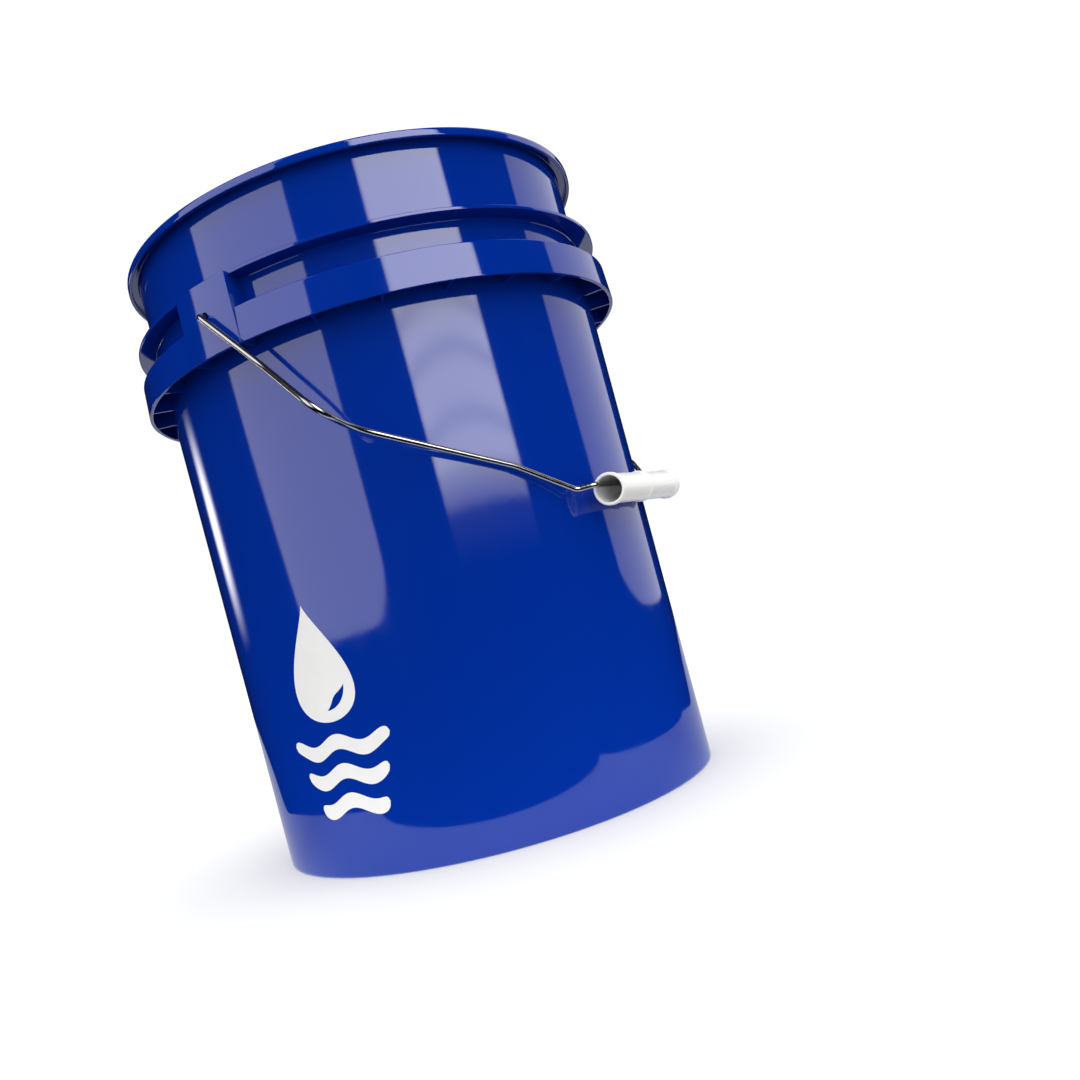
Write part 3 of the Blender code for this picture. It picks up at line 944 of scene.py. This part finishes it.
def build_floor():
    """A plain pale floor, too matt to show in the plastic."""
    mesh = bpy.data.meshes.new("floor")
    corners = [(x * FLOOR_SIZE, y * FLOOR_SIZE, 0) for x, y in ((-1, -1), (1, -1), (1, 1), (-1, 1))]
    mesh.from_pydata(corners, [], [(0, 1, 2, 3)])
    material = bpy.data.materials.new("floor")
    material.use_nodes = True
    shader = material.node_tree.nodes["Principled BSDF"]
    shader.inputs["Base Color"].default_value = (FLOOR_GREY, FLOOR_GREY, FLOOR_GREY, 1.0)
    shader.inputs["Roughness"].default_value = 0.9
    shader.inputs["Specular IOR Level"].default_value = 0.0
    mesh.materials.append(material)
    floor = bpy.data.objects.new("floor", mesh)
    floor.visible_glossy = False
    floor.visible_diffuse = False
    studio.objects.link(floor)


def build_world():
    """Soft light, strongest from above and in front, on matt surfaces, and a dim room in reflections."""
    world = bpy.data.worlds.new("studio")
    bpy.context.scene.world = world
    world.use_nodes = True
    tree = world.node_tree
    background = tree.nodes["Background"]
    place = tree.nodes.new("ShaderNodeTexCoord")
    lean = tree.nodes.new("ShaderNodeVectorMath")
    lean.operation = "DOT_PRODUCT"
    to_front, to_right, to_top = SKY_LEAN
    sky = towards(CAMERA_AZIMUTH) * to_front + towards(VIEW_AZIMUTH) * to_right
    lean.inputs[1].default_value = sky + Vector((0.0, 0.0, to_top))
    level = tree.nodes.new("ShaderNodeMath")
    level.operation = "ADD"
    level.inputs[1].default_value = SKY_LEVEL
    least = tree.nodes.new("ShaderNodeMath")
    least.operation = "MAXIMUM"
    least.inputs[1].default_value = SKY_LEAST
    path = tree.nodes.new("ShaderNodeLightPath")
    glossy = tree.nodes.new("ShaderNodeMix")
    glossy.inputs[3].default_value = SKY_MIRRORED
    seen = tree.nodes.new("ShaderNodeMix")
    seen.inputs[3].default_value = SKY_SEEN
    tree.links.new(place.outputs["Generated"], lean.inputs[0])
    tree.links.new(lean.outputs["Value"], level.inputs[0])
    tree.links.new(level.outputs["Value"], least.inputs[0])
    tree.links.new(least.outputs["Value"], glossy.inputs[2])
    tree.links.new(path.outputs["Is Glossy Ray"], glossy.inputs[0])
    tree.links.new(glossy.outputs[0], seen.inputs[2])
    tree.links.new(path.outputs["Is Camera Ray"], seen.inputs[0])
    tree.links.new(seen.outputs[0], background.inputs["Strength"])
    background.inputs["Color"].default_value = (1.0, 1.0, 1.0, 1.0)


def build_studio():
    """Soft boxes round the pail, a lit floor and the world."""
    light = glow()
    for name, span, heights, shade in (
        ("wide_box", (136.5, 190.0), (0.09, BOX_TOP), wide_light),
        ("near_box", (-136.0, -94.2), (0.14, BOX_TOP), near_light),
        ("right_box", (-55.0, -11.5), (0.02, BOX_TOP), right_light),
        ("strip_box", (80.9, 96.4), (0.13, 0.68), strip_light),
        ("rear_box", (22.0, 45.0), (0.05, BOX_TOP), rear_light),
    ):
        soft_box(name, span, heights, shade, light)
    build_pool(light)
    build_floor()
    build_world()


def build_camera():
    """The photograph's viewing angle: close, low, looking up a little and rolled."""
    yaw, pitch, roll = CAMERA_YAW, CAMERA_PITCH, CAMERA_ROLL
    ahead = Vector((math.sin(yaw) * math.cos(pitch), math.cos(yaw) * math.cos(pitch), math.sin(pitch)))
    level = Vector((math.cos(yaw), -math.sin(yaw), 0.0))
    above = level.cross(ahead)
    right = level * math.cos(roll) + above * math.sin(roll)
    up = above * math.cos(roll) - level * math.sin(roll)
    local = Matrix((right, up, -ahead)).transposed().to_4x4()
    local.translation = Vector((0.0, -CAMERA_DISTANCE, CAMERA_HEIGHT))
    data = bpy.data.cameras.new("camera")
    data.sensor_width = 36.0
    data.lens = LENS
    data.shift_x, data.shift_y = SHIFT
    data.clip_start = 0.01
    camera = bpy.data.objects.new("camera", data)
    camera.matrix_world = Matrix.Rotation(math.radians(VIEW_AZIMUTH), 4, "Z") @ local
    studio.objects.link(camera)
    bpy.context.scene.camera = camera


build_camera()
build_studio()
plastic = pail_plastic()
build_pail(plastic)
build_print(print_ink())
build_bail(bright_wire())
build_grip(grip_plastic())
build_guard(guard_plastic())
bpy.context.scene.view_settings.view_transform = "Standard"
